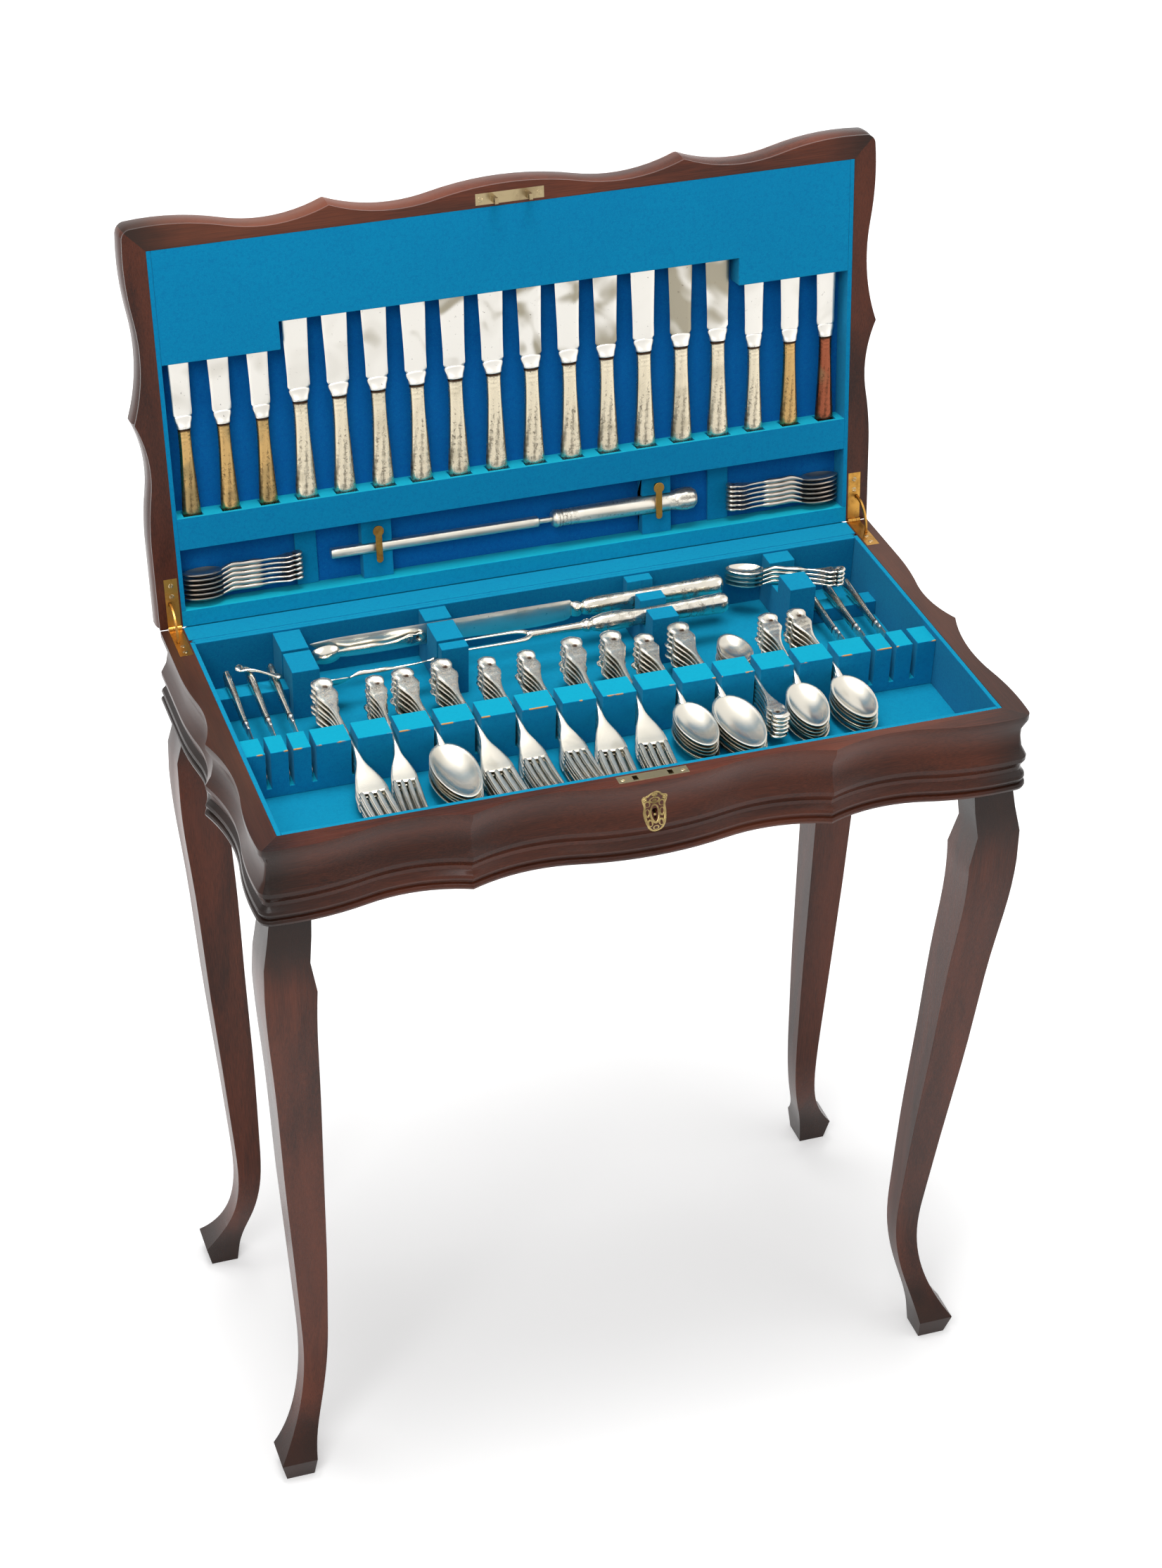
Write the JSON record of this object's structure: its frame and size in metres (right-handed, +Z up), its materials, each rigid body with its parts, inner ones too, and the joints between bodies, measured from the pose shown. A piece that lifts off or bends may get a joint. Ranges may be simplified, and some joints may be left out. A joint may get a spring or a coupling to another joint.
{
  "type": "cutlery canteen",
  "caption": "Table canteen: a shallow serpentine case on four cabriole legs, with a hinged lid, baize-lined racks and cutlery.",
  "frame": {"origin": "on the floor under the middle of the object as it stands with its lid open", "axes": "+X to the right along the case, +Y from its front to its back, +Z up"},
  "size_m": [0.698, 0.4478, 1.1002],
  "materials": {
    "mahogany": "polished mahogany",
    "baize": "baize",
    "brass": "aged brass",
    "silver": "polished silver plate"
  },
  "bodies": {
    "case": {"rail_front": "mahogany", "rail_left": "mahogany", "rail_right": "mahogany", "rail_back": "mahogany", "base_beads": "mahogany", "bottom_board": "mahogany", "corner_blocks": "mahogany", "leg_front_left": "mahogany", "leg_front_right": "mahogany", "leg_back_left": "mahogany", "leg_back_right": "mahogany", "lining_floor": "baize", "lining_front": "baize", "lining_back": "baize", "lining_left": "baize", "lining_right": "baize", "back_rail_baize": "baize", "fork_rack": "baize", "knife_ledges": "baize", "rest_1": "baize", "rest_2": "baize", "rest_3": "baize", "rest_4": "baize", "hinge_base_left": "brass", "hinge_base_right": "brass", "lock_case": "brass", "escutcheon": "brass", "forks": "silver", "spoons": "silver", "small_spoons": "silver", "carving_knife": "silver", "carving_fork": "silver", "small_knives": "silver", "condiment_spoons": "silver"},
    "lid": {"lid_panel": "mahogany", "lid_rail_front": "mahogany", "lid_rail_left": "mahogany", "lid_rail_right": "mahogany", "lid_rail_back": "mahogany", "lid_lining": "baize", "lid_lining_left": "baize", "lid_lining_right": "baize", "lid_back_baize": "baize", "tip_board": "baize", "knife_rail": "baize", "lid_dividers": "baize", "clip_blocks": "baize", "hinge_lid_left": "brass", "hinge_lid_right": "brass", "lock_link_plate": "brass", "table_knives": "silver", "dessert_knives": "silver", "sharpening_steel": "silver", "lid_teaspoons": "silver"},
    "stay_left": {"stay_left": "brass"},
    "stay_right": {"stay_right": "brass"},
    "turn_clip_left": {"turn_clip_left": "brass"},
    "turn_clip_right": {"turn_clip_right": "brass"},
    "lock_bolt": {"lock_bolt": "brass"}
  },
  "joints": [
    {"name": "lid_hinge", "type": "hinge", "parent": "case", "child": "lid", "pos_m": [0, 0.13921, 0.745], "axis": [1, 0, 0], "range_deg": [0, 98.4]},
    {"name": "stay_left_swing", "type": "hinge", "parent": "case", "child": "stay_left", "pos_m": [0, 0.13921, 0.745], "axis": [1, 0, 0], "range_deg": [0, 49.2]},
    {"name": "stay_right_swing", "type": "hinge", "parent": "case", "child": "stay_right", "pos_m": [0, 0.13921, 0.745], "axis": [1, 0, 0], "range_deg": [0, 49.2]},
    {"name": "turn_clip_left_pivot", "type": "hinge", "parent": "lid", "child": "turn_clip_left", "pos_m": [-0.134, 0.15079, 0.80495], "axis": [0, -0.9893, 0.1461], "range_deg": [-100, 100]},
    {"name": "turn_clip_right_pivot", "type": "hinge", "parent": "lid", "child": "turn_clip_right", "pos_m": [0.134, 0.15079, 0.80495], "axis": [0, -0.9893, 0.1461], "range_deg": [-100, 100]},
    {"name": "lock_bolt_slide", "type": "slide", "parent": "case", "child": "lock_bolt", "axis": [1, 0, 0], "range_m": [0, 0.005]}
  ],
  "couplings": [
    {"joint": "stay_left_swing", "follows": "lid_hinge", "ratio": 0.5},
    {"joint": "stay_right_swing", "follows": "lid_hinge", "ratio": 0.5}
  ]
}
